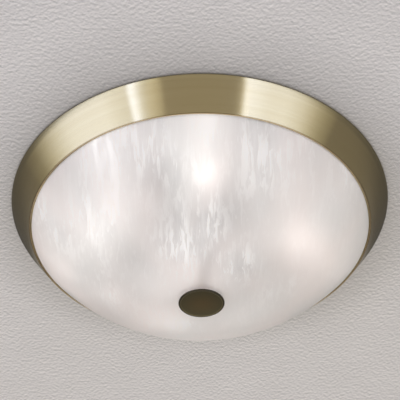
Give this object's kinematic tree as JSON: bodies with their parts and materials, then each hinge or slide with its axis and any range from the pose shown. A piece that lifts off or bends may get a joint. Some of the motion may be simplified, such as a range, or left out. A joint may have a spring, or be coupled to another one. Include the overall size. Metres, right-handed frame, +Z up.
{
  "type": "ceiling light",
  "caption": "Flush ceiling light with a spun brass ring, a shallow cloudy glass bowl held by a round finial on a centre rod, and lamps screwed into holders inside.",
  "frame": {"origin": "centre of the circle of ceiling screw holes, in the ceiling plane", "axes": "+Z up into the ceiling, along the centre rod; +Y towards the terminal strip and the cable hole; lamps point to +X, -X and -Y"},
  "size_m": [0.42, 0.42, 0.1232],
  "materials": {
    "pan_paint": "satin white stove enamel on pressed steel",
    "ring_brass": "brushed round the ring, lacquered satin",
    "rivet_metal": "plain, slightly dull",
    "seat_foam": "matte closed-cell seal",
    "grommet_rubber": "matte moulded rubber",
    "rod_brass": "bright turned brass",
    "zinc_steel": "zinc plated",
    "carrier_steel": "zinc plated sheet",
    "porcelain": "glazed white porcelain",
    "shell_brass": "bright rolled sheet",
    "spring_bronze": "rolled phosphor bronze",
    "strip_plastic": "moulded, matte",
    "tinned_copper": "tinned",
    "lead_earth": "green lead with a yellow stripe, satin",
    "lead_live": "satin insulation",
    "lead_neutral": "satin insulation",
    "cloudy_glass": "alabaster-look glass, satin outside, with cloudy streaks",
    "bush_silicone": "soft translucent bush",
    "dark_bronze": "dark bronze, satin",
    "frosted_glass": "frosted inside",
    "cap_metal": "rolled thin sheet",
    "black_glass": "glossy black",
    "solder": "solder"
  },
  "bodies": {
    "root": {"ceiling_pan": "pan_paint", "brass_ring": "ring_brass", "ring_rivets": "rivet_metal", "seat_ring": "seat_foam", "cable_grommet": "grommet_rubber", "centre_rod": "rod_brass", "rod_nuts": "zinc_steel", "rod_washers": "zinc_steel", "lamp_carrier": "carrier_steel", "carrier_rivets": "rivet_metal", "lampholder_1": "porcelain", "lampholder_2": "porcelain", "lampholder_3": "porcelain", "holder_screws": "zinc_steel", "screw_shell_1": "shell_brass", "screw_shell_2": "shell_brass", "screw_shell_3": "shell_brass", "spring_contact_1": "spring_bronze", "spring_contact_2": "spring_bronze", "spring_contact_3": "spring_bronze", "terminal_strip": "strip_plastic", "strip_screws": "zinc_steel", "terminal_clamps": "rod_brass", "clamp_screws": "zinc_steel", "earth_tag": "tinned_copper", "earth_screw": "rod_brass", "earth_lead": "lead_earth", "live_lead_1": "lead_live", "live_lead_2": "lead_live", "live_lead_3": "lead_live", "neutral_lead_1": "lead_neutral", "neutral_lead_2": "lead_neutral", "neutral_lead_3": "lead_neutral"},
    "bowl": {"glass_bowl": "cloudy_glass", "bowl_bush": "bush_silicone"},
    "finial_feed": {"finial_washer": "zinc_steel"},
    "finial": {"finial_neck": "rod_brass", "finial_disc": "dark_bronze"},
    "lamp_1_feed": {"lamp_contact_1": "solder"},
    "lamp_1": {"lamp_glass_1": "frosted_glass", "lamp_cap_1": "cap_metal", "lamp_base_1": "black_glass"},
    "lamp_2_feed": {"lamp_contact_2": "solder"},
    "lamp_2": {"lamp_glass_2": "frosted_glass", "lamp_cap_2": "cap_metal", "lamp_base_2": "black_glass"},
    "lamp_3_feed": {"lamp_contact_3": "solder"},
    "lamp_3": {"lamp_glass_3": "frosted_glass", "lamp_cap_3": "cap_metal", "lamp_base_3": "black_glass"}
  },
  "joints": [
    {"name": "bowl_drop", "type": "slide", "parent": "root", "child": "bowl", "axis": [0, 0, -1], "range_m": [0, 0.13]},
    {"name": "finial_travel", "type": "slide", "parent": "bowl", "child": "finial_feed", "axis": [0, 0, -1], "range_m": [0, 0.012]},
    {"name": "finial_turn", "type": "hinge", "parent": "finial_feed", "child": "finial", "pos_m": [0, 0, -0.1212], "axis": [0, 0, -1], "range_deg": [0, 4321]},
    {"name": "lamp_1_travel", "type": "slide", "parent": "root", "child": "lamp_1_feed", "axis": [1, 0, 0], "range_m": [0, 0.01815]},
    {"name": "lamp_1_turn", "type": "hinge", "parent": "lamp_1_feed", "child": "lamp_1", "pos_m": [0.036, 0, -0.035], "axis": [1, 0, 0], "range_deg": [0, 1801]},
    {"name": "lamp_2_travel", "type": "slide", "parent": "root", "child": "lamp_2_feed", "axis": [-1, 0, 0], "range_m": [0, 0.01815]},
    {"name": "lamp_2_turn", "type": "hinge", "parent": "lamp_2_feed", "child": "lamp_2", "pos_m": [-0.036, 0, -0.035], "axis": [-1, 0, 0], "range_deg": [0, 1801]},
    {"name": "lamp_3_travel", "type": "slide", "parent": "root", "child": "lamp_3_feed", "axis": [0, -1, 0], "range_m": [0, 0.01815]},
    {"name": "lamp_3_turn", "type": "hinge", "parent": "lamp_3_feed", "child": "lamp_3", "pos_m": [0, -0.036, -0.035], "axis": [0, -1, 0], "range_deg": [0, 1801]}
  ],
  "couplings": [
    {"joint": "finial_turn", "follows": "finial_travel", "rad_per_m": 6283.2},
    {"joint": "lamp_1_turn", "follows": "lamp_1_travel", "rad_per_m": 1731.4},
    {"joint": "lamp_2_turn", "follows": "lamp_2_travel", "rad_per_m": 1731.4},
    {"joint": "lamp_3_turn", "follows": "lamp_3_travel", "rad_per_m": 1731.4}
  ]
}
